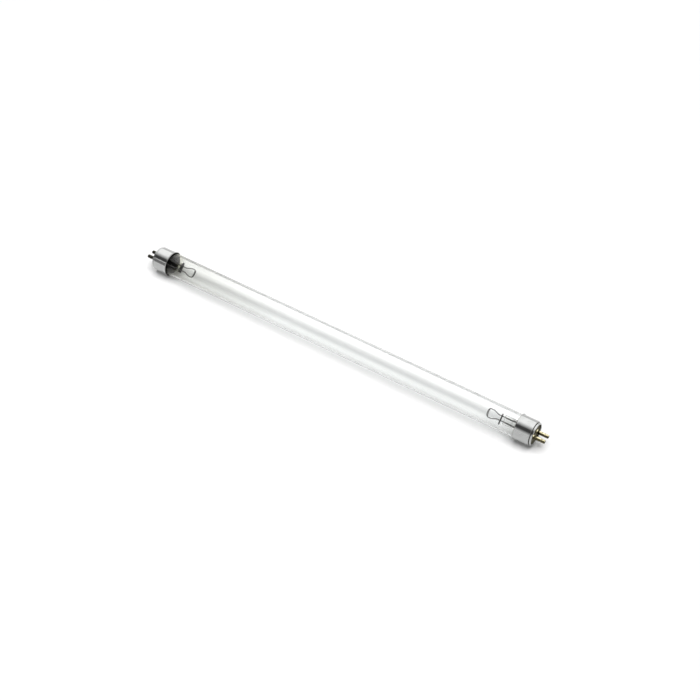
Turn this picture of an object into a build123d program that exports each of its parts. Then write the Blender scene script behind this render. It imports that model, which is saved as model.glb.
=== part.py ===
from build123d import *
import os
from math import asin, cos, degrees, pi, radians, sin

# Clear ultraviolet tube lamp with a two-pin cap at each end, in millimetres.
# It lies along X on the floor at z = 0, resting on the flared rims of its two caps.
# Each end is modelled once with x growing outwards from the lamp's middle, then turned into place.

# Glass tube: each end is turned in to the seal, inside its cap
bulb_od = 15.5
bulb_wall = 0.8
seal_depth = 5.65
seal_taper = 1.6
seal_width = 1.1
bulb_shift = -1.5

# Cap shell: flared rim, straight wall, narrower nose and the seat for the insulator
face_to_face = 288.3
cap_length = 12.0
cap_wall = 0.3
rim_flare = 0.45
flare_length = 0.45
nose_length = 1.5
nose_step = 0.6
nose_chamfer = 0.42
lip_width = 0.6

# Insulator disc, set back inside the nose
insulator_recess = 0.8
insulator_thickness = 1.2
insulator_clearance = 0.05

# Contact pins: hollow, with a slimmer tail through the disc, a collar on it and a crimp on the upper side
pin_length = 7.1
pin_od = 2.37
pin_pitch = 4.75
pin_wall = 0.4
pin_chamfer = 0.12
tail_od = 2.02
tail_reach = 0.4
tail_clearance = 0.05
collar_width = 0.5
collar_thickness = 0.45
seat_clearance = 0.9
crimp_place = 4.6
crimp_radius = 0.9
crimp_depth = 0.25

# Basing cement between the glass and the cap shell
cement_thickness = 0.1
cement_length = 2.0
cement_gap = 0.2

# Stem: flared tube, melted-off exhaust tube and flat press
stem_od = 6.2
stem_wall = 0.8
stem_length = 14.65
press_thickness = 2.6
press_length = 4.6
press_taper = 3.0
exhaust_od = 2.1
exhaust_reach = 1.2

# Electrode mount: two formed leads, the filament coil on their tips, and a strip welded to one lead
lead_od = 0.5
lead_sides = 8
lead_pitch = 3.0
lead_spread = 5.6
lead_corner = 0.5
lead_exit = 0.6
lead_entry = 0.15
lead_setback = 0.4
lead_clearance = 0.01
mount_reach = 25.65
spread_length = 3.3
straight_reach = 6.5
mount_turn = {"left": -35.0, "right": 50.0}
coil_wire = 0.16
coil_bite = 0.02
coil_length = 4.6
coil_turns = 7
coil_steps = 6
coil_grip = 0.7
strip_length = 7.1
strip_overlap = 1.6
strip_width = 2.4
strip_thickness = 0.25
strip_corner = 0.5
strip_gap = 0.4
strip_weld = 0.04
strip_reach = 1.85

# Sizes that follow from the ones above
bulb_r = bulb_od / 2
bore_r = bulb_r + cement_thickness
cap_r = bore_r + cap_wall
rim_r = cap_r + rim_flare
face_x = face_to_face / 2
rim_x = face_x - cap_length
shoulder_x = face_x - nose_length
nose_r = cap_r - nose_step
recess_r = nose_r - nose_chamfer - lip_width
insulator_r = recess_r - insulator_clearance
insulator_front = face_x - insulator_recess
insulator_back = insulator_front - insulator_thickness
pin_r = pin_od / 2
pin_y = pin_pitch / 2
pin_bore_r = pin_r - pin_wall
pin_tip = face_x + pin_length
tail_r = tail_od / 2
pin_back = insulator_back - tail_reach
seat_hole_r = pin_y + pin_r + seat_clearance
seal_r = bulb_r - seal_taper
stem_r = stem_od / 2
stem_bore_r = stem_r - stem_wall
exhaust_r = exhaust_od / 2
lead_r = lead_od / 2
lead_lift = pin_bore_r - lead_r - lead_clearance
coil_r = (lead_r - coil_bite + coil_wire / 2) / cos(pi / coil_steps)
side_sign = {"left": -1, "right": 1}


def seal_plane(side):
    """Outermost plane of the sealed glass at one end, measured outwards from the lamp's middle."""
    return face_x - seal_depth + bulb_shift * side_sign[side]


def turned(outline):
    """A closed half section, as points in x and radius, revolved about the lamp's axis."""
    return revolve(make_face(Polyline(outline, close=True)), Axis.X)


def along_axis(start, end, radius, y=0, z=0):
    """A round bar from start to end, parallel to the lamp's axis."""
    return Pos(start, y, z) * (Rot(0, 90, 0) * extrude(Circle(radius), end - start))


def mount_point(side, x, across, beside=0.0):
    """A point of the electrode mount: along the axis, across the leads' plane, and beside that plane."""
    turn = radians(mount_turn[side])
    y = across * cos(turn) - beside * sin(turn)
    z = across * sin(turn) + beside * cos(turn)
    return Vector(x, y, z)


def mount_plane(side, x):
    """A plane square to the axis whose own x runs across the two leads."""
    return Plane(mount_point(side, x, 0), x_dir=mount_point(side, 0, 1), z_dir=(1, 0, 0))


def glass_outline(side):
    """One end's wall points, outside then inside, each run outwards to the seal."""
    seal = seal_plane(side)
    inner_r = bulb_r - bulb_wall
    outside = [(seal - seal_taper, bulb_r), (seal, seal_r)]
    inside = [(seal - seal_width - (inner_r - seal_r), inner_r), (seal - seal_width, seal_r)]
    return outside, inside


def glass_tube():
    outside, inside = glass_outline("right")
    left_outside, left_inside = glass_outline("left")
    left_outside = [(-x, r) for x, r in left_outside]
    left_inside = [(-x, r) for x, r in left_inside]
    return turned(left_outside[::-1] + outside + inside[::-1] + left_inside)


def cap_shell():
    return turned([
        (rim_x, rim_r - cap_wall),
        (rim_x, rim_r),
        (rim_x + flare_length, cap_r),
        (shoulder_x, cap_r),
        (shoulder_x, nose_r),
        (face_x - nose_chamfer, nose_r),
        (face_x, nose_r - nose_chamfer),
        (face_x, recess_r),
        (insulator_back, recess_r),
        (insulator_back, seat_hole_r),
        (insulator_back - cap_wall, seat_hole_r),
        (insulator_back - cap_wall, bore_r),
        (rim_x + flare_length, bore_r),
    ])


def insulator():
    disc = along_axis(insulator_back, insulator_front, insulator_r)
    for y in (-pin_y, pin_y):
        disc -= along_axis(insulator_back, insulator_front, tail_r + tail_clearance, y)
    return disc


def contact_pin(y):
    pin = turned([
        (pin_back, pin_bore_r),
        (pin_back, tail_r),
        (insulator_front, tail_r),
        (insulator_front, pin_r + collar_width),
        (insulator_front + collar_thickness, pin_r),
        (pin_tip - pin_chamfer, pin_r),
        (pin_tip, pin_r - pin_chamfer),
        (pin_tip, pin_bore_r),
    ])
    crimp_axis = Plane((face_x + crimp_place, -pin_r, pin_r + crimp_radius - crimp_depth), z_dir=(0, 1, 0))
    crimp = extrude(crimp_axis * Circle(crimp_radius), pin_od)
    return Pos(0, y, 0) * (pin - crimp)


def cement_ring():
    start = rim_x + flare_length + cement_gap
    end = start + cement_length
    return turned([(start, bulb_r), (start, bore_r), (end, bore_r), (end, bulb_r)])


def press_flat(side, hand):
    """The block that is taken off one side of the stem's end to leave the flat press and its taper."""
    press_end = seal_plane(side) - stem_length
    half = press_thickness / 2
    taper_start = press_end + press_length
    profile = [
        (press_end, half),
        (taper_start, half),
        (taper_start + press_taper, stem_r),
        (taper_start + press_taper, stem_od),
        (press_end, stem_od),
    ]
    side_view = Plane((0, 0, 0), x_dir=(1, 0, 0), z_dir=mount_point(side, 0, 1) * -hand)
    return extrude(side_view * make_face(Polyline(profile, close=True)), stem_r, both=True)


def stem(side):
    seal = seal_plane(side)
    press_end = seal - stem_length
    tube_end = press_end + press_length + press_taper
    tip = seal + exhaust_reach
    glass = turned([
        (press_end, 0),
        (press_end, stem_r),
        (seal - seal_width - (seal_r - stem_r), stem_r),
        (seal - seal_width, seal_r),
        (seal, seal_r),
        (seal, stem_bore_r),
        (tube_end, stem_bore_r),
        (tube_end, exhaust_r),
        (tip, exhaust_r),
        (tip, 0),
    ])
    for hand in (-1, 1):
        glass -= press_flat(side, hand)
        glass -= lead_wire(side, hand)
    return glass


def lead_wire(side, hand):
    """A formed lead from inside the filament's end, through the press and up into its pin."""
    seal = seal_plane(side)
    coil_x = seal - mount_reach
    spread = lead_spread / 2
    path = Polyline([
        mount_point(side, coil_x, hand * (coil_length / 2 - coil_grip)),
        mount_point(side, coil_x, hand * (spread - lead_corner)),
        mount_point(side, coil_x + lead_corner, hand * spread),
        mount_point(side, coil_x + spread_length, hand * spread),
        mount_point(side, coil_x + straight_reach, hand * lead_pitch / 2),
        mount_point(side, seal - lead_exit, hand * lead_pitch / 2),
        (pin_back - lead_entry, hand * pin_y, lead_lift),
        (pin_tip - lead_setback, hand * pin_y, lead_lift),
    ])
    section = Plane(path @ 0, x_dir=(1, 0, 0), z_dir=path % 0) * RegularPolygon(lead_r, lead_sides)
    return sweep(section, path=path, transition=Transition.RIGHT)


def filament(side):
    """A wound coil whose end turns grip the tips of the two leads."""
    coil_x = seal_plane(side) - mount_reach
    start = mount_point(side, coil_x, -coil_length / 2)
    count = coil_turns * coil_steps
    points = []
    for k in range(count + 1):
        turn = radians(360 / coil_steps * k)
        points.append((coil_r * cos(turn), coil_r * sin(turn), coil_length * k / count))
    path = Polyline(points)
    outwards = (cos(pi / coil_steps), sin(pi / coil_steps), 0)
    section = Plane(path @ 0, x_dir=outwards, z_dir=path % 0) * Rectangle(coil_wire, coil_wire)
    coil = sweep(section, path=path, transition=Transition.RIGHT)
    coil = Plane(start, x_dir=(1, 0, 0), z_dir=mount_point(side, 0, 1)) * coil
    for hand in (-1, 1):
        coil -= lead_wire(side, hand)
    return coil


def getter_strip(side):
    """A plate square to the axis, its edge welded on one lead and tilted to stand clear of the other."""
    x = seal_plane(side) - stem_length - strip_reach
    tilt = degrees(asin(strip_gap / lead_pitch))
    outline = chamfer(Rectangle(strip_length, strip_width).vertices(), strip_corner)
    outline = Pos(strip_overlap - strip_length / 2, lead_r - strip_weld + strip_width / 2) * outline
    on_lead = mount_plane(side, x) * (Pos(lead_pitch / 2, 0) * (Rot(0, 0, -tilt) * outline))
    return extrude(on_lead, strip_thickness, dir=(1, 0, 0)) - lead_wire(side, 1)


def end_pieces(side):
    """All pieces of one end. Turning the left end half round swaps which hand is at the front."""
    rear = side_sign[side]
    return {
        f"cap_shell_{side}": cap_shell(),
        f"insulator_{side}": insulator(),
        f"pin_front_{side}": contact_pin(-rear * pin_y),
        f"pin_rear_{side}": contact_pin(rear * pin_y),
        f"stem_{side}": stem(side),
        f"lead_wire_front_{side}": lead_wire(side, -rear),
        f"lead_wire_rear_{side}": lead_wire(side, rear),
        f"filament_{side}": filament(side),
        f"getter_strip_{side}": getter_strip(side),
    }


on_floor = Pos(0, 0, rim_r)
places = {"left": on_floor * Rot(0, 0, 180), "right": on_floor}
pieces = {"glass_tube": on_floor * glass_tube()}
for side, place in places.items():
    for name, piece in end_pieces(side).items():
        pieces[name] = place * piece

# The two rings of cement share one node, as separate solids
pieces["basing_cement"] = Compound([place * cement_ring() for place in places.values()])

os.makedirs("parts", exist_ok=True)
for name, piece in pieces.items():
    export_step(piece, f"parts/{name}.step")
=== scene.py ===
from math import asin, cos, pi, radians, sin, sqrt, tan

import bmesh
import bpy
from bpy.props import FloatProperty, FloatVectorProperty, IntProperty, PointerProperty
from mathutils import Matrix, Vector


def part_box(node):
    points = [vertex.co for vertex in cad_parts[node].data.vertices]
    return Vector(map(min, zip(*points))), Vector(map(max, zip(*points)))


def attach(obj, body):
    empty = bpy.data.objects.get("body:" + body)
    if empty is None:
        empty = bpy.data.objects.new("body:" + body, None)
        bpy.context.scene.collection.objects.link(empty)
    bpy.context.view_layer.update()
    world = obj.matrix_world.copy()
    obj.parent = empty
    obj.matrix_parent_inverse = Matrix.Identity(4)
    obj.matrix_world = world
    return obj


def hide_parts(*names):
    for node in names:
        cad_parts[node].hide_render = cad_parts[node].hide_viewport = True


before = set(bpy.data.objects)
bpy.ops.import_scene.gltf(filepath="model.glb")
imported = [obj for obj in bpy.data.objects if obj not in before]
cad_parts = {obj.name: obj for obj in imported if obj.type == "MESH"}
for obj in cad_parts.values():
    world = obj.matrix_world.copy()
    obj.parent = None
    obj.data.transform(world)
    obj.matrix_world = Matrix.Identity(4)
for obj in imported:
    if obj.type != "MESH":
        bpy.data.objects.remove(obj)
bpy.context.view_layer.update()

bl_info = {
    "name": "Ultraviolet tube lamp",
    "version": (1, 0, 0),
    "blender": (4, 5, 0),
    "location": "3D View > Sidebar > Tube lamp",
    "description": "Dresses the clear two-pin tube lamp and sets up its studio",
    "category": "Object",
}

SIDES = {"left": -1, "right": 1}
BODY = "root"
TINY = 1e-9

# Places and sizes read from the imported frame, in metres
GLASS_LOW, GLASS_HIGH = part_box("glass_tube")
CAP_LOW, CAP_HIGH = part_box("cap_shell_right")
DISC_LOW, DISC_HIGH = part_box("insulator_right")
PIN_LOW, PIN_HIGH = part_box("pin_rear_right")
STRIP_BOXES = {side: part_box(f"getter_strip_{side}") for side in SIDES}
STEM_BOXES = {side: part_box(f"stem_{side}") for side in SIDES}
AXIS_HEIGHT = (GLASS_LOW.z + GLASS_HIGH.z) / 2
BULB_RADIUS = (GLASS_HIGH.y - GLASS_LOW.y) / 2
SEALS = {"left": -GLASS_LOW.x, "right": GLASS_HIGH.x}
RIM_RADIUS = (CAP_HIGH.y - CAP_LOW.y) / 2
DISC_RADIUS = (DISC_HIGH.y - DISC_LOW.y) / 2
PIN_PLACE = (PIN_LOW.y + PIN_HIGH.y) / 2
COLLAR_RADIUS = (PIN_HIGH.y - PIN_LOW.y) / 2


def number(description, default, **limits):
    return FloatProperty(description=description, default=default, **limits)


def length(description, default):
    """A size in metres that the sidebar shows with its unit."""
    return number(description, default, precision=5, unit="LENGTH", subtype="DISTANCE")


def angle(description, default):
    return number(description, radians(default), unit="ROTATION", subtype="ANGLE")


def colour(description, default):
    return FloatVectorProperty(
        description=description, default=default, size=3, min=0.0, max=1.0, subtype="COLOR"
    )


def labelled(group):
    """Gives each setting of a group its own key, in words, as its name in the sidebar."""
    for key, setting in group.__annotations__.items():
        setting.keywords["name"] = key.replace("_", " ").capitalize()
    return group


@labelled
class TubeSizes(bpy.types.PropertyGroup):
    """Glass of the tube and of the stem at each end."""

    wall: length("Thickness of the tube's glass", 0.0008)
    smoke_reach: length("How far the smoke stain reaches out of the left cap", 0.006)
    haze_reach: length("How far a faint haze reaches out of the left cap", 0.09)
    smoke: number("Share of the smoke stain beside the left cap", 0.45, min=0.0, max=1.0)
    haze: number("Share of the smoke in the haze beside it", 0.1, min=0.0, max=1.0)
    stem_smoke: number("Share of the smoke stain on the left stem", 0.25, min=0.0, max=1.0)
    seal_taper: length("How far each end is turned in to the seal", 0.0016)
    seal_width: length("Length of the fused seal", 0.0011)
    stem_radius: length("Outer radius of the stem's tube", 0.0031)
    stem_wall: length("Thickness of the stem's tube", 0.0008)
    stem_length: length("From the seal to the inner end of the press", 0.01465)
    press_half: length("Half the thickness of the flat press", 0.0013)
    press_length: length("Length of the flat press", 0.0046)
    press_taper: length("Length over which the tube flattens into the press", 0.003)
    cavity_depth: length("From the taper's outer end to the bottom of the stem's bore", 0.0026)
    exhaust_radius: length("Radius of the melted-off exhaust tube", 0.00105)


@labelled
class CapSizes(bpy.types.PropertyGroup):
    """Metal cap, insulator and contact pins of each end."""

    wall: length("Thickness of the cap's sheet", 0.0003)
    flare: length("How far the rim stands out from the cap", 0.00045)
    flare_length: length("Length of the flared rim", 0.00045)
    nose_length: length("Length of the narrower nose", 0.0015)
    nose_step: length("How far the nose is set in from the cap", 0.0006)
    nose_round: length("Rounding of the nose's front edge", 0.0011)
    groove: length("Depth of the groove between shoulder and nose", 0.0003)
    disc_clearance: length("Gap between the insulator and its recess", 0.00005)
    seat_hole: length("Radius of the opening behind the insulator", 0.00446)
    pin_radius: length("Outer radius of a contact pin", 0.001185)
    pin_bore: length("Radius of the bore of a contact pin", 0.000785)
    tail_radius: length("Radius of a pin where it passes the insulator", 0.00101)
    tail_clearance: length("Gap between a pin's tail and its hole", 0.00005)
    collar_length: length("Length of the collar on the insulator", 0.00045)
    tip_round: length("Rounding of a pin's tip", 0.0004)
    crimp_place: length("From the cap's face to the middle of the crimp", 0.0046)
    crimp_radius: length("Radius of the crimping tool", 0.0009)
    crimp_depth: length("Depth of the crimp in the pin's upper side", 0.00025)


@labelled
class MountSizes(bpy.types.PropertyGroup):
    """Leads, filament and strip of each end."""

    turn_left: angle("Turn of the left mount about the lamp's axis", -35.0)
    turn_right: angle("Turn of the right mount about the lamp's axis", 50.0)
    lead_radius: length("Radius of a lead wire", 0.0003)
    lead_swell: number("How much thicker a lead is in the press", 1.5)
    lead_bend: length("Bending radius of a lead wire", 0.0005)
    lead_pitch: length("Distance between the leads in the press", 0.003)
    lead_spread: length("Distance between the leads near the filament", 0.0056)
    lead_corner: length("Cut of the corner where a lead turns in to the filament", 0.0005)
    lead_exit: length("From the seal to where a lead bends to its pin", 0.0006)
    lead_entry: length("Straight length of a lead before its pin", 0.00015)
    lead_setback: length("From a pin's tip to the end of its lead", 0.0004)
    reach: length("From the seal to the filament", 0.02565)
    spread_length: length("Length of the spread part of a lead", 0.0033)
    straight_reach: length("From the filament to the straight part of a lead", 0.0065)
    coil_radius: length("Mean radius of the filament's coil", 0.0005)
    coil_wire: length("Radius of the filament's wire", 0.00011)
    coil_length: length("Length of the filament's coil", 0.0046)
    coil_bow: length("How far the filament's middle bows out", 0.0003)
    coil_grip: length("Length of lead inside each end of the coil", 0.0007)
    coil_turns: IntProperty(description="Turns of the filament's coil", default=13, min=3)
    strip_length: length("Length of the cross strip", 0.0071)
    strip_overlap: length("Length of strip beyond the lead that carries it", 0.0016)
    strip_width: length("Width of the cross strip", 0.0024)
    strip_thickness: length("Thickness of the cross strip", 0.00025)
    strip_gap: length("Gap between the strip and the lead that it passes", 0.0004)
    strip_weld: length("Depth of the weld of the strip on its lead", 0.00004)


@labelled
class LampFinishes(bpy.types.PropertyGroup):
    """Colours of the lamp's finishes, and how its glass passes light."""

    glass: colour("Tint of the clear tube", (0.995, 0.999, 0.997))
    smoke: colour("Stain of the glass at the seals", (0.22, 0.22, 0.05))
    smoke_shade: colour("Light that the stained glass lets through to the floor", (0.5, 0.495, 0.485))
    drawn: colour("Tint of the faint draw lines in the tube", (0.99, 0.997, 0.994))
    # Painted shade, in part the glass's own darkening where it is seen along its wall
    edge: colour("Tint of the glass where it is seen along its wall", (0.3, 0.31, 0.3))
    glass_bending: number("Index of the tube's glass", 1.45)
    glass_shade: number("Share of the light that the tube lets through to the floor", 0.94)
    stem: colour("Tint of the stem's glass", (0.95, 0.955, 0.94))
    stem_bending: number("Index of the stem's glass, low for a calm look", 1.2)
    stem_wave: number("Waviness of the stem's glass", 0.02)
    stem_shade: number("Share of the light that a stem lets through to the floor", 0.9)
    cap: colour("Bright drawn aluminium", (0.43, 0.435, 0.43))
    # Also painted as shade on the caps' rim edge and in their groove
    stain: colour("Cement stain inside the caps", (0.06, 0.055, 0.04))
    brass: colour("Drawn brass of the pins", (0.68, 0.62, 0.4))
    tarnish: colour("Tarnished brass", (0.1, 0.082, 0.03))
    # Painted shade that makes the left pins near black
    aged: colour("Blackened brass of the left pins", (0.024, 0.024, 0.021))
    disc: colour("Brown hard paper", (0.1, 0.088, 0.042))
    lead: colour("Plated wire", (0.13, 0.127, 0.12))
    coil: colour("Coated filament wire", (0.1, 0.097, 0.09))
    strip: colour("Dark metal strip", (0.04, 0.037, 0.033))
    cement: colour("Baked basing cement", (0.09, 0.08, 0.05))
    floor: colour("Pale studio floor", (0.92, 0.92, 0.92))


@labelled
class StudioSettings(bpy.types.PropertyGroup):
    """Camera and soft light of the studio."""

    azimuth: angle("Turn of the camera round the lamp from the front", 33.09)
    elevation: angle("Height of the camera above the horizon", 46.2)
    distance: length("From the camera to its target", 0.9)
    target: FloatVectorProperty(
        description="Point in the middle of the picture, from the middle of the lamp's axis",
        default=(0.01176, -0.00204, 0.0),
        subtype="TRANSLATION",
        unit="LENGTH",
    )
    lens: number("Focal length on a 36 mm sensor, in millimetres", 72.8)
    rear_light: number("Brightness of the tent overhead and behind", 1.95)
    front_light: number("Brightness of the tent's low front", 1.0)
    opening: number("Brightness of the tent's opening for the camera", 0.1)
    horizon: number("Brightness of the tent's low rear", 1.1)
    front_low: angle("Where the low front starts to darken, from the front horizon", 16.0)
    front_high: angle("Where the low front has gone dark, from the front horizon", 40.0)
    rear_low: angle("Where the white starts overhead, from the front horizon", 62.0)
    rear_high: angle("Where the white overhead is full, from the front horizon", 100.0)
    rear_edge: angle("Where the white of the tent ends behind, from the front horizon", 160.0)
    front_left: number("Share of the front light at the left", 0.25)
    left_light: number("Share of the light left at the tent's left end", 0.6)
    right_light: number("Share of the light left at the right end", 0.9)
    key_strength: number("Strength of the key light overhead", 3.46)
    key_size: angle("Angle that the soft key light fills overhead", 56.0)
    key_turn: FloatVectorProperty(
        description="Direction from the lamp to the key light",
        default=(0.08, 0.0, 1.0),
        subtype="DIRECTION",
    )
    fill_power: number("Power of the soft fill light in front", 0.085, unit="POWER")
    strip_power: number("Power of the strip light", 0.16, unit="POWER")


@labelled
class TubeLamp(bpy.types.PropertyGroup):
    """All settings of the lamp and its studio."""

    tube: PointerProperty(type=TubeSizes)
    cap: PointerProperty(type=CapSizes)
    mount: PointerProperty(type=MountSizes)
    finish: PointerProperty(type=LampFinishes)
    studio: PointerProperty(type=StudioSettings)


def settings():
    return bpy.context.scene.tube_lamp


# Mesh helpers


def rounded(corners, steps=6):
    """Points of an outline whose corners, given as u, v and radius, are rounded by curves."""
    points = []
    for i, (u, v, radius) in enumerate(corners):
        here = Vector((u, v))
        if radius == 0:
            points.append(here)
            continue
        before = Vector(corners[i - 1][:2]) - here
        after = Vector(corners[(i + 1) % len(corners)][:2]) - here
        reach = radius / tan(before.angle(after) / 2)
        start = here + before.normalized() * min(reach, before.length / 2)
        end = here + after.normalized() * min(reach, after.length / 2)
        for k in range(steps + 1):
            t = k / steps
            points.append(start * (1 - t) ** 2 + here * 2 * t * (1 - t) + end * t ** 2)
    return points


def stepped(start, end, radius, count):
    """Points along a straight wall, so that it can be formed afterwards."""
    return [Vector((start + (end - start) * k / count, radius)) for k in range(count + 1)]


def lathe(name, outline, segments=96, closed=True):
    """A mesh turned about X from an outline of x and radius. Points on the axis become poles."""
    shape = bmesh.new()
    rings = []
    for x, radius in outline:
        turns = [2 * pi * k / segments for k in range(segments)] if radius > 0 else [0.0]
        rings.append([shape.verts.new((x, radius * cos(t), radius * sin(t))) for t in turns])
    for ring, following in zip(rings, rings[1:] + (rings[:1] if closed else [])):
        for k in range(segments):
            after = (k + 1) % segments
            corners = [
                ring[k % len(ring)],
                ring[after % len(ring)],
                following[after % len(following)],
                following[k % len(following)],
            ]
            corners = list(dict.fromkeys(corners))
            if len(corners) > 2:
                shape.faces.new(corners)
    bmesh.ops.recalc_face_normals(shape, faces=shape.faces)
    return to_mesh(name, shape)


def to_mesh(name, shape):
    mesh = bpy.data.meshes.new(name)
    shape.to_mesh(mesh)
    shape.free()
    return mesh


def end_frame(side):
    """From an end's own frame, with x outwards along the axis, to the lamp's frame."""
    lift = Matrix.Translation((0, 0, AXIS_HEIGHT))
    return lift if side == "right" else lift @ Matrix.Rotation(pi, 4, "Z")


def hand_names(side):
    """Hands of an end with the place that each has on the lamp. The left end is turned half round."""
    rear = SIDES[side]
    return {-rear: "front", rear: "rear"}


def add_object(name, data):
    made = bpy.data.objects.new(name, data)
    bpy.context.scene.collection.objects.link(made)
    return made


def add_piece(name, mesh, material, slot, *nodes, sharp=35.0):
    """Shades a finished mesh, gives it its material and binds it to the frame in place of its nodes."""
    mesh.name = name
    mesh.shade_smooth()
    mesh.set_sharp_from_angle(angle=radians(sharp))
    mesh.materials.clear()
    mesh.materials.append(material)
    piece = add_object(name, mesh)
    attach(piece, BODY)
    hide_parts(*nodes)


def mark_seal(mesh, smoked):
    """Marks the glass that stands inside a cap, for its stain, and what the smoke has reached beside it."""
    marks = mesh.attributes.new("seal", "FLOAT", "POINT")
    for vertex in mesh.vertices:
        within = abs(vertex.co.x) > CAP_LOW.x
        marks.data[vertex.index].value = 1.0 if within else smoked(vertex.co.x)


def mount_turn(side):
    mount = settings().mount
    return mount.turn_left if side == "left" else mount.turn_right


def mount_point(side, x, across, beside=0.0):
    """A point of an electrode mount: along the axis, across the leads' plane, and beside that plane."""
    turn = mount_turn(side)
    y = across * cos(turn) - beside * sin(turn)
    z = across * sin(turn) + beside * cos(turn)
    return Vector((x, y, z))


# Node helpers

# What a Geometry Nodes tree hands on
SOLID = {"Geometry": "NodeSocketGeometry"}


def set_inputs(tree, node, values):
    """Gives each input of a node its value, or links it to the socket that is given for it."""
    for key, value in values.items():
        if isinstance(value, bpy.types.NodeSocket):
            tree.links.new(value, node.inputs[key])
        else:
            node.inputs[key].default_value = value


def add_node(tree, kind, values=None, **attributes):
    """A node with its attributes set and its inputs given values or sockets."""
    node = tree.nodes.new(kind)
    for key, value in attributes.items():
        setattr(node, key, value)
    set_inputs(tree, node, values or {})
    return node


def calculate(tree, operation, *terms):
    """The result of one step of arithmetic on values or sockets."""
    return add_node(tree, "ShaderNodeMath", dict(enumerate(terms)), operation=operation).outputs["Value"]


def spread_value(tree, factor, low, high, start=0.0, end=1.0, shape="LINEAR"):
    """A value that goes from low to high while the factor goes from start to end."""
    ends = {"Value": factor, "From Min": start, "From Max": end, "To Min": low, "To Max": high}
    return add_node(tree, "ShaderNodeMapRange", ends, interpolation_type=shape).outputs["Result"]


def mix_colours(tree, factor, first, second):
    """A colour that goes from first to second with the factor. Each end is a colour or a socket."""
    ends = [end if isinstance(end, bpy.types.NodeSocket) else (*end, 1.0) for end in (first, second)]
    mix = add_node(tree, "ShaderNodeMix", {0: factor, 6: ends[0], 7: ends[1]}, data_type="RGBA")
    return mix.outputs[2]


def split(tree, vector):
    """The sockets X, Y and Z of a vector."""
    return add_node(tree, "ShaderNodeSeparateXYZ", {"Vector": vector}).outputs


def object_place(tree):
    return add_node(tree, "ShaderNodeTexCoord").outputs["Object"]


def new_group(name, kind, inputs, outputs):
    """A node group with named inputs, each a number or a kind of socket, and outputs of the kinds given.

    Returns the group, the sockets that it is given and the inputs of its output node.
    """
    tree = bpy.data.node_groups.new(name, kind)
    for label, value in inputs.items():
        socket = value if isinstance(value, str) else "NodeSocketFloat"
        made = tree.interface.new_socket(name=label, in_out="INPUT", socket_type=socket)
        if socket != value:
            made.default_value = value
    for label, socket in outputs.items():
        tree.interface.new_socket(name=label, in_out="OUTPUT", socket_type=socket)
    return tree, tree.nodes.new("NodeGroupInput").outputs, tree.nodes.new("NodeGroupOutput").inputs


def apply_tree(tree, values, points=()):
    """Runs a Geometry Nodes tree on a path through the points and returns the result as a plain mesh."""
    path = bpy.data.meshes.new(tree.name)
    steps = [(k, k + 1) for k in range(len(points) - 1)]
    path.from_pydata([tuple(p) for p in points], steps, [])
    host = add_object(tree.name, path)
    modifier = host.modifiers.new(tree.name, "NODES")
    modifier.node_group = tree
    for item in tree.interface.items_tree:
        if item.item_type == "SOCKET" and item.in_out == "INPUT" and item.name in values:
            modifier[item.identifier] = values[item.name]
    depsgraph = bpy.context.evaluated_depsgraph_get()
    mesh = bpy.data.meshes.new_from_object(host.evaluated_get(depsgraph))
    bpy.data.objects.remove(host)
    bpy.data.meshes.remove(path)
    return mesh


def end_wire(tree, curve, sides, given, out, scale=1.0):
    """Makes a curve a round wire, smooth and painted, and hands it on as the group's result."""
    size = {"Resolution": sides, "Radius": given["Wire Radius"]}
    ring = add_node(tree, "GeometryNodeCurvePrimitiveCircle", size).outputs["Curve"]
    wire = {"Curve": curve, "Profile Curve": ring, "Scale": scale, "Fill Caps": True}
    solid = add_node(tree, "GeometryNodeCurveToMesh", wire).outputs["Mesh"]
    smooth = add_node(tree, "GeometryNodeSetShadeSmooth", {"Geometry": solid}).outputs["Geometry"]
    paint = add_node(tree, "GeometryNodeSetMaterial", {"Geometry": smooth, "Material": given["Finish"]})
    tree.links.new(paint.outputs["Geometry"], out["Geometry"])


def wire_tree():
    """A round wire along a path with its corners bent to a radius, thicker where the press seals it."""
    inputs = {
        "Path": "NodeSocketGeometry",
        "Wire Radius": 0.00025,
        "Bend Radius": 0.0009,
        "Seal Start": 0.12,
        "Seal End": 0.13,
        "Seal Swell": 1.5,
        "Finish": "NodeSocketMaterial",
    }
    tree, given, out = new_group("Formed wire", "GeometryNodeTree", inputs, SOLID)
    path = add_node(tree, "GeometryNodeMeshToCurve", {"Mesh": given["Path"]}).outputs["Curve"]
    bends = {"Curve": path, "Radius": given["Bend Radius"], "Count": 8, "Limit Radius": True}
    bent = add_node(tree, "GeometryNodeFilletCurve", bends, mode="POLY").outputs["Curve"]
    x = split(tree, add_node(tree, "GeometryNodeInputPosition").outputs["Position"])["X"]
    limits = {}
    for k, (test, end) in enumerate((("GREATER_THAN", "Seal Start"), ("LESS_THAN", "Seal End"))):
        passed = add_node(tree, "FunctionNodeCompare", {"A": x, "B": given[end]}, operation=test)
        limits[k] = passed.outputs["Result"]
    sealed = add_node(tree, "FunctionNodeBooleanMath", limits, operation="AND").outputs["Boolean"]
    ends = {"Switch": sealed, "False": 1.0, "True": given["Seal Swell"]}
    swell = add_node(tree, "GeometryNodeSwitch", ends, input_type="FLOAT").outputs["Output"]
    end_wire(tree, bent, 16, given, out, swell)
    return tree


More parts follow.
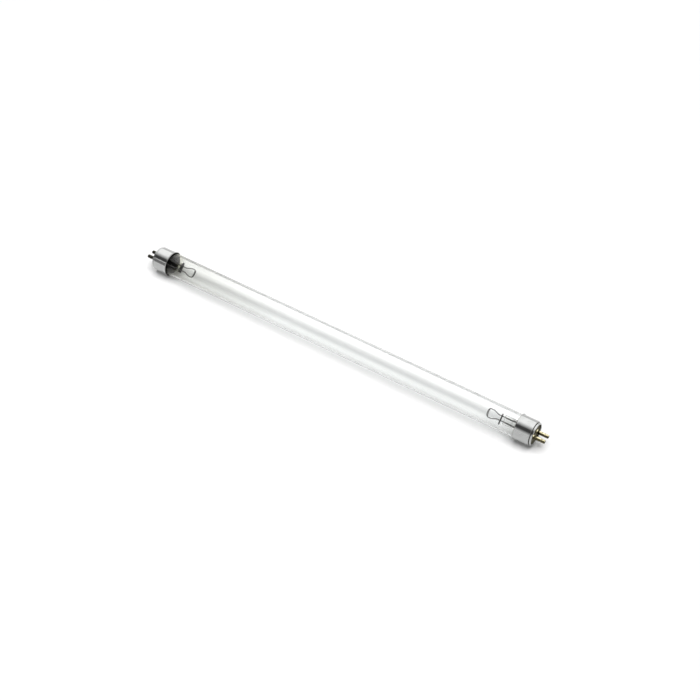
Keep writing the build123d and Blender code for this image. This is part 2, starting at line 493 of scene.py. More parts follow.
def coil_tree():
    """A wound coil along Z whose middle bows towards minus X."""
    inputs = {
        "Base": "NodeSocketGeometry",
        "Turns": 13.0,
        "Coil Radius": 0.00033,
        "Length": 0.0046,
        "Bow": 0.0008,
        "Wire Radius": 0.00009,
        "Finish": "NodeSocketMaterial",
    }
    tree, given, out = new_group("Wound coil", "GeometryNodeTree", inputs, SOLID)
    winding = {"Resolution": 20, "Rotations": given["Turns"], "Height": given["Length"]}
    winding["Start Radius"] = winding["End Radius"] = given["Coil Radius"]
    spiral = add_node(tree, "GeometryNodeCurveSpiral", winding).outputs["Curve"]
    z = split(tree, add_node(tree, "GeometryNodeInputPosition").outputs["Position"])["Z"]
    share = spread_value(tree, z, -1.0, 1.0, 0.0, given["Length"])
    inward = calculate(tree, "SUBTRACT", calculate(tree, "MULTIPLY", share, share), 1.0)
    sag = calculate(tree, "MULTIPLY", inward, given["Bow"])
    shift = add_node(tree, "ShaderNodeCombineXYZ", {"X": sag}).outputs["Vector"]
    bowed = add_node(tree, "GeometryNodeSetPosition", {"Geometry": spiral, "Offset": shift})
    end_wire(tree, bowed.outputs["Geometry"], 10, given, out)
    return tree


# Finishes

# Depth of the fine grain on metal, on other surfaces and on glass, in metres
METAL_GRAIN = 0.00002
PLAIN_GRAIN = 0.00003
GLASS_GRAIN = 0.0002


def streak_group():
    """Fine streaks along the lamp's axis, as drawing leaves on metal and glass. Gives a value from 0 to 1."""
    if "Draw streaks" in bpy.data.node_groups:
        return bpy.data.node_groups["Draw streaks"]
    inputs = {"Along": 30.0, "Across": 2500.0, "Detail": 3.0}
    tree, given, out = new_group("Draw streaks", "ShaderNodeTree", inputs, {"Streak": "NodeSocketFloat"})
    scales = {"X": given["Along"], "Y": given["Across"], "Z": given["Across"]}
    stretch = add_node(tree, "ShaderNodeCombineXYZ", scales).outputs["Vector"]
    place = add_node(tree, "ShaderNodeVectorMath", {0: object_place(tree), 1: stretch}, operation="MULTIPLY")
    look = {"Vector": place.outputs["Vector"], "Scale": 1.0, "Detail": given["Detail"], "Roughness": 0.6}
    noise = add_node(tree, "ShaderNodeTexNoise", look)
    tree.links.new(noise.outputs["Fac"], out["Streak"])
    return tree


def patch_group():
    """Soft patches, as handling and age leave them. Gives a mask that is 1 inside the patches."""
    if "Soft patches" in bpy.data.node_groups:
        return bpy.data.node_groups["Soft patches"]
    inputs = {"Scale": 600.0, "Edge": 0.5, "Softness": 0.15}
    tree, given, out = new_group("Soft patches", "ShaderNodeTree", inputs, {"Mask": "NodeSocketFloat"})
    look = {"Vector": object_place(tree), "Scale": given["Scale"], "Detail": 5.0, "Roughness": 0.6}
    noise = add_node(tree, "ShaderNodeTexNoise", look).outputs["Fac"]
    ends = [calculate(tree, step, given["Edge"], given["Softness"]) for step in ("SUBTRACT", "ADD")]
    tree.links.new(spread_value(tree, noise, 0.0, 1.0, *ends, "SMOOTHSTEP"), out["Mask"])
    return tree


def edge_shade_group():
    """How near a point is to the side of the round tube, whatever the angle along the tube is.

    Edge is painted shade: a sharp line on the upper side, with a faint line and a soft band on the lower
    side.
    Side is the line alone, the same above and below.
    """
    if "Tube edge" in bpy.data.node_groups:
        return bpy.data.node_groups["Tube edge"]
    least = 0.01
    lower_shade_line = 0.05
    shade_band_share, shade_band_start, shade_band_end = 0.18, 0.9, 0.6
    middle = AXIS_HEIGHT - 0.2 * BULB_RADIUS, AXIS_HEIGHT + 0.3 * BULB_RADIUS
    inputs = {"Facing": 0.0, "Along": 0.0, "Start": 0.0, "End": 0.0}
    outputs = {"Edge": "NodeSocketFloat", "Side": "NodeSocketFloat"}
    tree, given, out = new_group("Tube edge", "ShaderNodeTree", inputs, outputs)
    turned = calculate(tree, "SUBTRACT", 1.0, given["Facing"])
    slant = calculate(tree, "SUBTRACT", 1.0, given["Along"])
    across = calculate(tree, "SUBTRACT", 1.0, calculate(tree, "MULTIPLY", slant, slant))
    most = calculate(tree, "SQRT", calculate(tree, "MAXIMUM", across, least))
    share = calculate(tree, "DIVIDE", turned, most)
    side = spread_value(tree, share, 0.0, 1.0, given["Start"], given["End"], "SMOOTHSTEP")
    # Painted shade band that darkens the lower part of the tube towards its lower edge
    band = spread_value(tree, share, 0.0, shade_band_share, shade_band_start, shade_band_end, "SMOOTHSTEP")
    # Painted shade line, full on the upper side and faint on the lower side
    height = split(tree, object_place(tree))["Z"]
    upper = spread_value(tree, height, lower_shade_line, 1.0, *middle)
    lower = spread_value(tree, height, 1.0, 0.0, *middle)
    edge = calculate(tree, "MULTIPLY_ADD", band, lower, calculate(tree, "MULTIPLY", side, upper))
    tree.links.new(edge, out["Edge"])
    tree.links.new(side, out["Side"])
    return tree


def new_finish(name):
    """An empty node material with its Principled shader. Returns the material, its tree and the shader."""
    material = bpy.data.materials.new(name)
    material.use_nodes = True
    tree = material.node_tree
    return material, tree, tree.nodes["Principled BSDF"]


def add_group(tree, group, values):
    """Adds a node group with its inputs set and returns its outputs."""
    return add_node(tree, "ShaderNodeGroup", values, node_tree=group).outputs


def bumped(tree, height, strength, distance):
    """A normal that follows the height."""
    bump = {"Strength": strength, "Distance": distance, "Height": height}
    return add_node(tree, "ShaderNodeBump", bump).outputs["Normal"]


def attribute(tree, name):
    return add_node(tree, "ShaderNodeAttribute", attribute_name=name).outputs["Fac"]


def source_of(shader, name):
    """The socket that feeds an input of a shader."""
    return shader.inputs[name].links[0].from_socket


def scaled(tint, share):
    return tuple(c * share for c in tint)


def glass_finish(name, tint, lined, bending, waviness, shade):
    """Clear glass with faint draw lines, which lets the studio's light through to the floor.

    Where the mesh is marked it is stained. Its sides are darkened by painted shade, more so from the first
    trace of haze on.
    """
    finish = settings().finish
    haze_gain, hazy_edge_shade = 10.0, 0.2
    sealed_bending = 1.03
    side_shade = 0.6
    material, tree, shader = new_finish(name)
    seal = attribute(tree, "seal")
    axis = add_node(tree, "ShaderNodeCombineXYZ", {"X": 1.0}).outputs["Vector"]
    facing = add_node(tree, "ShaderNodeLayerWeight", {"Blend": 0.5}).outputs["Facing"]
    along = add_node(tree, "ShaderNodeLayerWeight", {"Blend": 0.5, "Normal": axis}).outputs["Facing"]
    edge = add_group(tree, edge_shade_group(), {"Facing": facing, "Along": along, "Start": 0.62, "End": 0.31})
    lines = add_group(tree, streak_group(), {"Along": 6.0, "Across": 350.0, "Detail": 1.0})["Streak"]
    clear = mix_colours(tree, lines, tint, lined)
    # Painted shade: the glass darkens towards its sides, darker still where the haze starts
    hazy = spread_value(tree, seal, 0.0, haze_gain)
    rim = mix_colours(tree, hazy, finish.edge, scaled(finish.edge, hazy_edge_shade))
    edge_shaded_tone = mix_colours(tree, edge["Edge"], clear, rim)
    set_inputs(tree, shader, {
        "Base Color": mix_colours(tree, seal, edge_shaded_tone, finish.smoke),
        "Roughness": 0.0,
        "IOR": spread_value(tree, seal, bending, sealed_bending),
        "Transmission Weight": 1.0,
    })
    if waviness:
        set_inputs(tree, shader, {"Normal": bumped(tree, lines, waviness, GLASS_GRAIN)})
    path = add_node(tree, "ShaderNodeLightPath").outputs
    lighting = calculate(tree, "MAXIMUM", path["Is Shadow Ray"], path["Is Diffuse Ray"])
    shaded = mix_colours(tree, edge["Side"], scaled(tint, shade), scaled(tint, side_shade * shade))
    shadow = mix_colours(tree, seal, shaded, finish.smoke_shade)
    passing = add_node(tree, "ShaderNodeBsdfTransparent", {"Color": shadow}).outputs["BSDF"]
    choice = {"Fac": lighting, 1: shader.outputs["BSDF"], 2: passing}
    surface = add_node(tree, "ShaderNodeMixShader", choice).outputs["Shader"]
    set_inputs(tree, tree.nodes["Material Output"], {"Surface": surface})
    return material


def surface_finish(name, metallic, light, dark, polish, streaks, patches, depth):
    """Two tones in patches over a grain in streaks, in which the polish goes from its low to its high.

    Streaks are given as along, across and detail, and patches as scale, edge and softness.
    """
    material, tree, shader = new_finish(name)
    grain = add_group(tree, streak_group(), dict(enumerate(streaks)))["Streak"]
    mask = add_group(tree, patch_group(), dict(enumerate(patches)))["Mask"]
    set_inputs(tree, shader, {
        "Metallic": metallic,
        "Base Color": mix_colours(tree, mask, light, dark),
        "Roughness": spread_value(tree, grain, *polish),
        "Normal": bumped(tree, grain, depth, METAL_GRAIN if metallic else PLAIN_GRAIN),
    })
    return material, tree, shader


def cap_finish():
    """Bright metal outside, stained by the cement inside, with painted shade in the stain's colour on the
    rim's edge and in the groove, where the mesh's own attribute says so.
    """
    tint, stain = settings().finish.cap, settings().finish.stain
    stain_polish = 0.6
    look = dict(polish=(0.06, 0.15), streaks=(60, 1800, 3), patches=(260, 0.6, 0.2), depth=0.12)
    material, tree, shader = surface_finish("Bright drawn aluminium", 1.0, tint, scaled(tint, 0.86), **look)
    inside = attribute(tree, "inside")
    rough = {0: inside, 2: source_of(shader, "Roughness"), 3: stain_polish}
    set_inputs(tree, shader, {
        "Base Color": mix_colours(tree, inside, source_of(shader, "Base Color"), stain),
        "Roughness": add_node(tree, "ShaderNodeMix", rough, data_type="FLOAT").outputs[0],
    })
    return material


def brass_finish():
    """Brass that is tarnished in patches, with painted shade on its lower side and painted shade that makes
    it near black at the left end.
    """
    finish = settings().finish
    cover = 0.95
    shade_fade_start, shade_fade_end = AXIS_HEIGHT + 0.0007, AXIS_HEIGHT + 0.00115
    look = dict(polish=(0.06, 0.18), streaks=(120, 5000, 3), patches=(900, 0.58, 0.12), depth=0.15)
    material, tree, shader = surface_finish("Drawn brass", 1.0, finish.brass, finish.tarnish, **look)
    parts = split(tree, object_place(tree))
    # Painted shade: the pins' lower side is darkened towards the tarnish colour
    below = spread_value(tree, parts["Z"], cover, 0.0, shade_fade_start, shade_fade_end)
    # Painted shade that turns the pins near black towards the left end
    left = spread_value(tree, parts["X"], cover, 0.0, -CAP_LOW.x, 0.0)
    shaded_underside = mix_colours(tree, below, source_of(shader, "Base Color"), scaled(finish.tarnish, 0.5))
    set_inputs(tree, shader, {"Base Color": mix_colours(tree, left, shaded_underside, finish.aged)})
    return material


def lead_finish():
    tint = settings().finish.lead
    look = dict(polish=(0.2, 0.45), streaks=(300, 9000, 3), patches=(1500, 0.5, 0.2), depth=0.2)
    return surface_finish("Plated lead wire", 1.0, tint, scaled(tint, 0.45), **look)[0]


def coil_finish():
    tint = settings().finish.coil
    look = dict(polish=(0.35, 0.7), streaks=(4000, 4000, 4), patches=(2500, 0.52, 0.12), depth=0.5)
    return surface_finish("Coated filament", 1.0, tint, scaled(tint, 0.5), **look)[0]


def strip_finish():
    tint = settings().finish.strip
    look = dict(polish=(0.3, 0.6), streaks=(900, 2600, 3), patches=(1200, 0.5, 0.2), depth=0.3)
    return surface_finish("Dark strip metal", 1.0, tint, scaled(tint, 0.55), **look)[0]


def disc_finish():
    tint = settings().finish.disc
    look = dict(polish=(0.45, 0.7), streaks=(1500, 700, 5), patches=(800, 0.5, 0.2), depth=0.3)
    material, tree, shader = surface_finish("Brown hard paper", 0.0, tint, scaled(tint, 0.6), **look)
    set_inputs(tree, shader, {"Specular IOR Level": 0.15})
    return material


def cement_finish():
    tint = settings().finish.cement
    look = dict(polish=(0.75, 0.95), streaks=(2500, 2500, 5), patches=(1400, 0.5, 0.2), depth=0.6)
    return surface_finish("Baked cement", 0.0, tint, scaled(tint, 0.75), **look)[0]


# Operators, one for each piece or group of like pieces


class TUBELAMP_OT_glass(bpy.types.Operator):
    """Makes the clear tube with its turned-in ends"""

    bl_idname = "tubelamp.glass"
    bl_label = "Glass tube"

    def smoke(self, x):
        """Dark beside the left cap, then a haze that is gone where its reach ends."""
        tube = settings().tube
        if x < -CAP_LOW.x + 1.5 * tube.wall:
            return tube.smoke
        return tube.haze if x < -CAP_LOW.x + 1.5 * tube.smoke_reach else 0.0

    def execute(self, context):
        tube, finish = settings().tube, settings().finish
        inner = BULB_RADIUS - tube.wall
        mouth = BULB_RADIUS - tube.seal_taper
        rings = [CAP_LOW.x - off for off in (tube.haze_reach, tube.smoke_reach, tube.wall, -tube.wall)]
        outside = []
        inside = []
        for side, sign in SIDES.items():
            seal = SEALS[side]
            outside.append([
                *((sign * x, BULB_RADIUS, 0) for x in rings),
                (sign * (seal - tube.seal_taper), BULB_RADIUS, tube.seal_taper),
                (sign * seal, mouth, 0),
            ])
            inside.append([
                *((sign * x, inner, 0) for x in rings),
                (sign * (seal - tube.seal_width - (inner - mouth)), inner, tube.wall),
                (sign * (seal - tube.seal_width), mouth, 0),
            ])
        corners = outside[0][::-1] + outside[1] + inside[1][::-1] + inside[0]
        mesh = lathe("tube_glass", rounded(corners), segments=256)
        mark_seal(mesh, self.smoke)
        mesh.transform(Matrix.Translation((0, 0, AXIS_HEIGHT)))
        look = finish.glass_bending, 0.0, finish.glass_shade
        material = glass_finish("Clear tube glass", finish.glass, finish.drawn, *look)
        add_piece("tube_glass", mesh, material, "glass", "glass_tube")
        return {"FINISHED"}


class TUBELAMP_OT_caps(bpy.types.Operator):
    """Makes the two drawn caps with flared rim, shoulder, nose and seat"""

    bl_idname = "tubelamp.caps"
    bl_label = "Cap shells"

    # Share of the stain's colour painted as shade on the rim's edge, where it is partly cement, and in the
    # groove
    rim_painted_shade = 0.4
    groove_painted_shade = 0.9

    def outline(self):
        cap = settings().cap
        rim, face = CAP_LOW.x, CAP_HIGH.x
        body = RIM_RADIUS - cap.flare
        bore = body - cap.wall
        nose = body - cap.nose_step
        recess = DISC_RADIUS + cap.disc_clearance
        shoulder = face - cap.nose_length
        seat = DISC_LOW.x
        edge = cap.wall * 0.4
        return rounded([
            (rim, RIM_RADIUS - cap.wall, edge),
            (rim, RIM_RADIUS, edge),
            (rim + cap.wall, RIM_RADIUS, edge),
            (rim + cap.flare_length * 2, body, cap.flare_length),
            (shoulder, body, cap.wall * 1.2),
            (shoulder, nose - cap.groove, cap.groove / 3),
            (shoulder + cap.groove, nose - cap.groove, cap.groove / 3),
            (shoulder + cap.groove * 1.6, nose, cap.groove / 3),
            (face, nose, cap.nose_round),
            (face, recess, cap.wall),
            (seat, recess, edge),
            (seat, cap.seat_hole, edge),
            (seat - cap.wall, cap.seat_hole, edge),
            (seat - cap.wall, bore, cap.wall),
            (rim + cap.flare_length * 2, bore, cap.flare_length),
        ])

    def mark_stain_and_shade(self, mesh):
        """Marks the cement stain, full on the inner wall, and painted shade with less of it: on the rim's
        edge, where it is partly cement, and in the groove.
        """
        cap = settings().cap
        wall = RIM_RADIUS - cap.flare - cap.wall / 2
        nose = RIM_RADIUS - cap.flare - cap.nose_step
        shoulder = CAP_HIGH.x - cap.nose_length
        marks = mesh.attributes.new("inside", "FLOAT", "POINT")
        for vertex in mesh.vertices:
            x, out = vertex.co.x, vertex.co.yz.length
            within = x < DISC_LOW.x - cap.wall / 2 and out < wall
            rim = x < CAP_LOW.x + cap.wall / 2
            low = nose - 2 * cap.groove < out < nose - cap.groove / 3
            groove = low and abs(x - shoulder) < cap.groove * 1.2
            # Painted shade in the stain's colour on the rim's edge and in the groove
            stain = self.rim_painted_shade if rim else self.groove_painted_shade if groove else 0.0
            marks.data[vertex.index].value = 1.0 if within else stain

    def execute(self, context):
        material = cap_finish()
        for side in SIDES:
            mesh = lathe(f"cap_{side}", self.outline(), segments=128)
            self.mark_stain_and_shade(mesh)
            mesh.transform(end_frame(side))
            add_piece(f"cap_{side}", mesh, material, "cap", f"cap_shell_{side}", sharp=50.0)
        return {"FINISHED"}


class TUBELAMP_OT_insulators(bpy.types.Operator):
    """Makes the two hard-paper discs with their pin holes"""

    bl_idname = "tubelamp.insulators"
    bl_label = "Insulators"

    def circle(self, curve, y, radius):
        spline = curve.splines.new("NURBS")
        count = 24
        spline.points.add(count - 1)
        for k, point in enumerate(spline.points):
            turn = 2 * pi * k / count
            point.co = (y + radius * cos(turn), radius * sin(turn), 0, 1)
        spline.use_cyclic_u = True
        spline.order_u = 4
        spline.resolution_u = 4

    def execute(self, context):
        cap = settings().cap
        material = disc_finish()
        edge = cap.disc_clearance
        thickness = DISC_HIGH.x - DISC_LOW.x
        hole = cap.tail_radius + cap.tail_clearance
        upright = Matrix.Translation((DISC_LOW.x + thickness / 2, 0, 0)) @ Matrix.Rotation(pi / 2, 4, "Y")
        upright = upright @ Matrix.Rotation(pi / 2, 4, "Z")
        for side in SIDES:
            curve = bpy.data.curves.new("disc_outline", "CURVE")
            curve.dimensions = "2D"
            curve.fill_mode = "BOTH"
            curve.extrude = thickness / 2 - edge
            curve.bevel_depth = edge
            curve.bevel_resolution = 2
            self.circle(curve, 0.0, DISC_RADIUS - edge)
            for y in (-PIN_PLACE, PIN_PLACE):
                self.circle(curve, y, hole + edge)
            host = bpy.data.objects.new("disc_outline", curve)
            mesh = bpy.data.meshes.new_from_object(host)
            bpy.data.objects.remove(host)
            bpy.data.curves.remove(curve)
            mesh.transform(end_frame(side) @ upright)
            add_piece(f"insulator_disc_{side}", mesh, material, "insulator", f"insulator_{side}")
        return {"FINISHED"}


class TUBELAMP_OT_pins(bpy.types.Operator):
    """Makes the four hollow contact pins with collar, crimp and rounded tip"""

    bl_idname = "tubelamp.pins"
    bl_label = "Contact pins"

    def outline(self):
        cap = settings().cap
        tail, tip, seat = PIN_LOW.x, PIN_HIGH.x, DISC_HIGH.x
        thin = cap.tail_clearance
        crimp = CAP_HIGH.x + cap.crimp_place
        before = rounded([
            (tail, cap.pin_bore, thin),
            (tail, cap.tail_radius, thin),
            (seat, cap.tail_radius, 0),
            (seat, COLLAR_RADIUS, thin),
            (seat + cap.collar_length, cap.pin_radius, cap.collar_length / 3),
            (crimp - cap.crimp_radius, cap.pin_radius, 0),
            (tip, cap.pin_radius, cap.tip_round),
            (tip, cap.pin_bore, thin),
        ])
        wall = stepped(crimp - cap.crimp_radius, crimp + cap.crimp_radius, cap.pin_radius, 24)
        first = next(i for i, p in enumerate(before) if (p - wall[0]).length < TINY)
        return before[:first] + wall + before[first + 1:]

    def press_crimp(self, mesh):
        """Flattens the pin's upper side where the tool has pressed it."""
        cap = settings().cap
        crimp = CAP_HIGH.x + cap.crimp_place
        for vertex in mesh.vertices:
            off = vertex.co.x - crimp
            if abs(off) < cap.crimp_radius and vertex.co.yz.length > cap.pin_bore * 1.1:
                rise = cap.crimp_radius - sqrt(cap.crimp_radius ** 2 - off ** 2)
                vertex.co.z = min(vertex.co.z, cap.pin_radius - cap.crimp_depth + rise)

    def execute(self, context):
        material = brass_finish()
        for side in SIDES:
            for hand, place in hand_names(side).items():
                mesh = lathe("contact_pin", self.outline(), segments=64)
                self.press_crimp(mesh)
                mesh.transform(end_frame(side) @ Matrix.Translation((0, hand * PIN_PLACE, 0)))
                name, node = f"contact_pin_{place}_{side}", f"pin_{place}_{side}"
                add_piece(name, mesh, material, "pin", node, sharp=40.0)
        return {"FINISHED"}


class TUBELAMP_OT_stems(bpy.types.Operator):
    """Makes the two flared stems with their flat press and exhaust tube"""

    bl_idname = "tubelamp.stems"
    bl_label = "Stems"

    def outline(self, side):
        tube = settings().tube
        seal = SEALS[side]
        press = seal - tube.stem_length
        flat_end = press + tube.press_length
        tube_end = flat_end + tube.press_taper
        mouth = BULB_RADIUS - tube.seal_taper
        bore = tube.stem_radius - tube.stem_wall
        tip = STEM_BOXES[side][1].x if side == "right" else -STEM_BOXES[side][0].x
        wall = stepped(press + tube.stem_wall, tube_end, tube.stem_radius, 24)
        flare = seal - tube.seal_width - (mouth - tube.stem_radius)
        start = rounded([
            (press, 0, 0),
            (press, tube.stem_radius, tube.stem_wall / 2),
            (press + tube.stem_wall, tube.stem_radius, 0),
        ])
        rest = rounded([
            (tube_end, tube.stem_radius, 0),
            (flare, tube.stem_radius, tube.stem_radius),
            (seal - tube.seal_width, mouth, tube.seal_width / 3),
            (seal, mouth, tube.seal_width / 3),
            (seal, bore, tube.stem_wall),
            (tube_end + tube.cavity_depth, bore, tube.stem_wall / 2),
            (tube_end + tube.cavity_depth, tube.exhaust_radius, tube.stem_wall / 4),
            (tip, tube.exhaust_radius, tube.exhaust_radius * 0.8),
            (tip, 0, 0),
        ])
        return start[:-1] + wall + rest[1:]

    def press_flat(self, mesh, side):
        """Presses the stem's inner end flat between the leads, with a taper up to the round tube."""
        tube = settings().tube
        flat_end = SEALS[side] - tube.stem_length + tube.press_length
        squareness = 6
        for vertex in mesh.vertices:
            share = min(max((vertex.co.x - flat_end) / tube.press_taper, 0.0), 1.0)
            if share < 1.0:
                swell = share * share * (3 - 2 * share)
                half = tube.press_half + (tube.stem_radius - tube.press_half) * swell
                ratio = vertex.co.z / half
                vertex.co.z = half * ratio / (1 + abs(ratio) ** squareness) ** (1 / squareness)

    def execute(self, context):
        finish = settings().finish
        smoked = {"left": settings().tube.stem_smoke, "right": 0.0}
        look = finish.stem_bending, finish.stem_wave, finish.stem_shade
        material = glass_finish("Clear stem glass", finish.stem, scaled(finish.stem, 0.96), *look)
        for side in SIDES:
            mesh = lathe(f"stem_glass_{side}", self.outline(side), segments=96, closed=False)
            self.press_flat(mesh, side)
            mark_seal(mesh, lambda x: smoked[side])
            mesh.transform(end_frame(side) @ Matrix.Rotation(mount_turn(side), 4, "X"))
            add_piece(f"stem_glass_{side}", mesh, material, "stem_glass", f"stem_{side}", sharp=50.0)
        return {"FINISHED"}


class TUBELAMP_OT_leads(bpy.types.Operator):
    """Makes the four formed lead wires from the filaments to the pins"""

    bl_idname = "tubelamp.leads"
    bl_label = "Lead wires"

    def path(self, side, hand):
        mount, cap, tube = settings().mount, settings().cap, settings().tube
        seal = SEALS[side]
        press = seal - tube.stem_length
        sealed = tube.press_length + tube.press_taper
        coil = seal - mount.reach
        spread, pitch = mount.lead_spread / 2, mount.lead_pitch / 2
        lift = cap.pin_bore - mount.lead_radius
        stations = [
            (coil, mount.coil_length / 2 - mount.coil_grip),
            (coil, spread - mount.lead_corner),
            (coil + mount.lead_corner, spread),
            (coil + mount.spread_length, spread),
            (coil + mount.straight_reach, pitch),
            *((press + mount.lead_bend * k, pitch) for k in (1, 1.5)),
            *((press + sealed + mount.lead_bend * k, pitch) for k in (0, 0.5)),
            (seal - mount.lead_exit, pitch),
        ]
        points = [mount_point(side, x, hand * across) for x, across in stations]
        for x in (PIN_LOW.x - mount.lead_entry, PIN_HIGH.x - mount.lead_setback):
            points.append(Vector((x, hand * PIN_PLACE, lift)))
        return points

    def execute(self, context):
        mount, tube = settings().mount, settings().tube
        material = lead_finish()
        tree = wire_tree()
        for side in SIDES:
            for hand, place in hand_names(side).items():
                points = self.path(side, hand)
                press = SEALS[side] - tube.stem_length
                values = {
                    "Wire Radius": mount.lead_radius,
                    "Bend Radius": mount.lead_bend,
                    "Seal Start": press + mount.lead_bend * 1.2,
                    "Seal End": press + tube.press_length + tube.press_taper + mount.lead_bend * 0.2,
                    "Seal Swell": mount.lead_swell,
                    "Finish": material,
                }
                mesh = apply_tree(tree, values, points)
                mesh.transform(end_frame(side))
                name, node = f"lead_{place}_{side}", f"lead_wire_{place}_{side}"
                add_piece(name, mesh, material, "lead", node, sharp=60.0)
        return {"FINISHED"}


class TUBELAMP_OT_filaments(bpy.types.Operator):
    """Makes the two wound filaments on the tips of the leads"""

    bl_idname = "tubelamp.filaments"
    bl_label = "Filaments"

    def execute(self, context):
        mount = settings().mount
        material = coil_finish()
        tree = coil_tree()
        for side in SIDES:
            values = {
                "Turns": float(mount.coil_turns),
                "Coil Radius": mount.coil_radius,
                "Length": mount.coil_length,
                "Bow": mount.coil_bow,
                "Wire Radius": mount.coil_wire,
                "Finish": material,
            }
            mesh = apply_tree(tree, values)
            start = mount_point(side, SEALS[side] - mount.reach, -mount.coil_length / 2)
            across = mount_point(side, 0, 1)
            along = Vector((1, 0, 0))
            basis = Matrix((along, across.cross(along), across)).transposed().to_4x4()
            mesh.transform(end_frame(side) @ Matrix.Translation(start) @ basis)
            add_piece(f"filament_coil_{side}", mesh, material, "filament", f"filament_{side}", sharp=80.0)
        return {"FINISHED"}


class TUBELAMP_OT_strips(bpy.types.Operator):
    """Makes the two cross strips that stand on one lead each"""

    bl_idname = "tubelamp.strips"
    bl_label = "Cross strips"

    def execute(self, context):
        mount = settings().mount
        material = strip_finish()
        tilt = asin(mount.strip_gap / mount.lead_pitch)
        low = mount.lead_radius - mount.strip_weld
        right = mount.strip_overlap
        left = right - mount.strip_length
        corner = mount.strip_thickness * 2
        outline = rounded([
            (left, low, corner),
            (right, low, corner),
            (right, low + mount.strip_width, corner),
            (left, low + mount.strip_width, corner),
        ])
        for side in SIDES:
            box = STRIP_BOXES[side]
            x = box[0].x if side == "right" else -box[1].x
            shape = bmesh.new()
            corners = []
            for u, v in outline:
                across = mount.lead_pitch / 2 + u * cos(tilt) + v * sin(tilt)
                beside = v * cos(tilt) - u * sin(tilt)
                corners.append(shape.verts.new(mount_point(side, x, across, beside)))
            face = shape.faces.new(corners)
            grown = bmesh.ops.extrude_face_region(shape, geom=[face])
            moved = [v for v in grown["geom"] if isinstance(v, bmesh.types.BMVert)]
            bmesh.ops.translate(shape, verts=moved, vec=(mount.strip_thickness, 0, 0))
            bmesh.ops.recalc_face_normals(shape, faces=shape.faces)
            rims = [e for e in shape.edges if abs(e.verts[0].co.x - e.verts[1].co.x) < TINY]
            bmesh.ops.bevel(shape, geom=rims, offset=mount.strip_thickness * 0.25, segments=2, affect="EDGES")
            mesh = to_mesh(f"strip_{side}", shape)
            mesh.transform(end_frame(side))
            add_piece(f"strip_{side}", mesh, material, "strip", f"getter_strip_{side}", sharp=40.0)
        return {"FINISHED"}


class TUBELAMP_OT_cement(bpy.types.Operator):
    """Gives the two cement rings inside the caps their finish"""

    bl_idname = "tubelamp.cement"
    bl_label = "Basing cement"

    def execute(self, context):
        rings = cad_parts["basing_cement"].data
        rings.materials.clear()
        rings.materials.append(cement_finish())
        return {"FINISHED"}


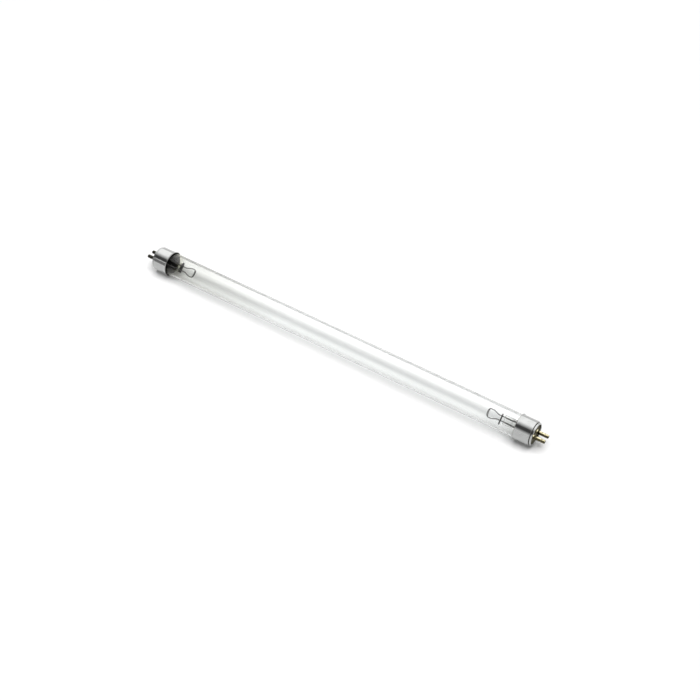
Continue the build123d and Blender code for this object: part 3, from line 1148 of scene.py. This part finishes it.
class TUBELAMP_OT_stage(bpy.types.Operator):
    """Sets up the pale floor, the soft light and the camera"""

    bl_idname = "tubelamp.stage"
    bl_label = "Studio"

    # Size, place and target of each panel light, in metres
    fill_panel = (0.2, 0.2), (-0.05, -0.35, 0.35), (-0.02, 0, 0)
    strip_panel = (0.4, 0.09), (-0.75, -0.95, 0.56), (-0.138, 0, 0)
    fill_spread = radians(70.0)

    def floor(self):
        half = 40.0
        corners = [(-half, -half, 0), (half, -half, 0), (half, half, 0), (-half, half, 0)]
        mesh = bpy.data.meshes.new("floor")
        mesh.from_pydata(corners, [], [(0, 1, 2, 3)])
        material, tree, shader = new_finish("Pale floor")
        tint = (*settings().finish.floor, 1.0)
        set_inputs(tree, shader, {"Base Color": tint, "Roughness": 0.9, "Specular IOR Level": 0.0})
        mesh.materials.append(material)
        floor = add_object("floor", mesh)

    def aim(self, thing, place, direction):
        """Puts a light or the camera in its place and points it in a direction."""
        thing.location = place
        thing.rotation_mode = "QUATERNION"
        thing.rotation_quaternion = direction.to_track_quat("-Z", "Y")

    def panel(self, name, power, size, place, target):
        """A soft rectangular light that faces its target."""
        light = bpy.data.lights.new(name, "AREA")
        light.shape = "RECTANGLE"
        light.size, light.size_y = size
        light.energy = power
        lamp = add_object(name, light)
        self.aim(lamp, place, Vector(target) - Vector(place))
        return lamp

    def key(self):
        """One wide, soft light overhead, the same all over the floor."""
        studio = settings().studio
        light = bpy.data.lights.new("key_light", "SUN")
        light.energy = studio.key_strength
        light.angle = studio.key_size
        lamp = add_object("key_light", light)
        self.aim(lamp, (0, 0, 1), -Vector(studio.key_turn))
        lamp.visible_glossy = lamp.visible_transmission = False

    def camera(self):
        studio = settings().studio
        a, e = studio.azimuth, studio.elevation
        back = Vector((sin(a) * cos(e), -cos(a) * cos(e), sin(e)))
        target = Vector(studio.target) + Vector((0, 0, AXIS_HEIGHT))
        lens = bpy.data.cameras.new("camera")
        lens.lens = studio.lens
        lens.sensor_width = 36.0
        lens.clip_start = 0.01
        camera = add_object("camera", lens)
        self.aim(camera, target + back * studio.distance, -back)
        bpy.context.scene.camera = camera

    def tent(self):
        """A light tent that metal and glass mirror, laid out by the angle from the front horizon.

        It is bright at its low front, dark in the opening for the camera, white overhead and behind, and
        less bright at the low rear. Both ends are darker, and so is the left part of the low front.
        """
        studio = settings().studio
        soft = radians(2.0)
        front_left = -0.5, -0.3
        end_start, end_full = 0.6, 0.85
        world = bpy.data.worlds.new("Light tent")
        world.use_nodes = True
        tree = world.node_tree
        parts = split(tree, add_node(tree, "ShaderNodeTexCoord").outputs["Generated"])
        turn = calculate(tree, "ARCTAN2", parts["Z"], calculate(tree, "MULTIPLY", parts["Y"], -1.0))
        ramp = add_node(tree, "ShaderNodeValToRGB", {"Fac": spread_value(tree, turn, 0.0, 1.0, -pi, pi)})
        stops = [
            (studio.rear_low, studio.opening),
            (studio.rear_high, studio.rear_light),
            (studio.rear_edge - soft, studio.rear_light),
            (studio.rear_edge + soft, studio.horizon),
        ]
        elements = ramp.color_ramp.elements
        elements.remove(elements[1])
        for k, (stop, light) in enumerate(stops):
            place = (stop + pi) / (2 * pi)
            element = elements.new(place) if k else elements[0]
            element.position = place
            element.color = (light, light, light, 1.0)
        front = spread_value(tree, turn, 0.0, studio.front_light, studio.front_high, studio.front_low)
        across = spread_value(tree, parts["X"], studio.front_left, 1.0, *front_left)
        left = spread_value(tree, parts["X"], 1.0, studio.left_light, -end_start, -end_full)
        right = spread_value(tree, parts["X"], 1.0, studio.right_light, end_start, end_full)
        around = calculate(tree, "ADD", ramp.outputs["Color"], calculate(tree, "MULTIPLY", front, across))
        strength = calculate(tree, "MULTIPLY", around, calculate(tree, "MULTIPLY", left, right))
        set_inputs(tree, tree.nodes["Background"], {"Color": (1.0, 1.0, 1.0, 1.0), "Strength": strength})
        bpy.context.scene.world = world
        world.cycles_visibility.diffuse = False

    def execute(self, context):
        studio = settings().studio
        bpy.context.scene.view_settings.view_transform = "Standard"
        self.floor()
        self.tent()
        self.key()
        fill = self.panel("fill_light", studio.fill_power, *self.fill_panel)
        fill.visible_glossy = fill.visible_transmission = False
        fill.data.spread = self.fill_spread
        self.panel("strip_light", studio.strip_power, *self.strip_panel)
        self.camera()
        return {"FINISHED"}


class TUBELAMP_PT_panel(bpy.types.Panel):
    """Lists the lamp's pieces and its studio"""

    bl_idname = "TUBELAMP_PT_panel"
    bl_label = "Ultraviolet tube lamp"
    bl_space_type = "VIEW_3D"
    bl_region_type = "UI"
    bl_category = "Tube lamp"

    def draw(self, context):
        for operator in OPERATORS:
            self.layout.operator(operator.bl_idname)
        lamp = context.scene.tube_lamp
        for part in (lamp.tube, lamp.cap, lamp.mount, lamp.finish, lamp.studio):
            box = self.layout.box()
            for key in part.__annotations__:
                box.prop(part, key)


GROUPS = (TubeSizes, CapSizes, MountSizes, LampFinishes, StudioSettings, TubeLamp)
OPERATORS = (
    TUBELAMP_OT_glass,
    TUBELAMP_OT_caps,
    TUBELAMP_OT_insulators,
    TUBELAMP_OT_pins,
    TUBELAMP_OT_stems,
    TUBELAMP_OT_leads,
    TUBELAMP_OT_filaments,
    TUBELAMP_OT_strips,
    TUBELAMP_OT_cement,
    TUBELAMP_OT_stage,
)
CLASSES = (*GROUPS, *OPERATORS, TUBELAMP_PT_panel)


def register():
    for cls in CLASSES:
        bpy.utils.register_class(cls)
    bpy.types.Scene.tube_lamp = PointerProperty(type=TubeLamp)


def unregister():
    del bpy.types.Scene.tube_lamp
    for cls in reversed(CLASSES):
        bpy.utils.unregister_class(cls)


def main():
    register()
    bpy.ops.tubelamp.glass()
    bpy.ops.tubelamp.caps()
    bpy.ops.tubelamp.insulators()
    bpy.ops.tubelamp.pins()
    bpy.ops.tubelamp.stems()
    bpy.ops.tubelamp.leads()
    bpy.ops.tubelamp.filaments()
    bpy.ops.tubelamp.strips()
    bpy.ops.tubelamp.cement()
    bpy.ops.tubelamp.stage()


if __name__ == "__main__":
    main()
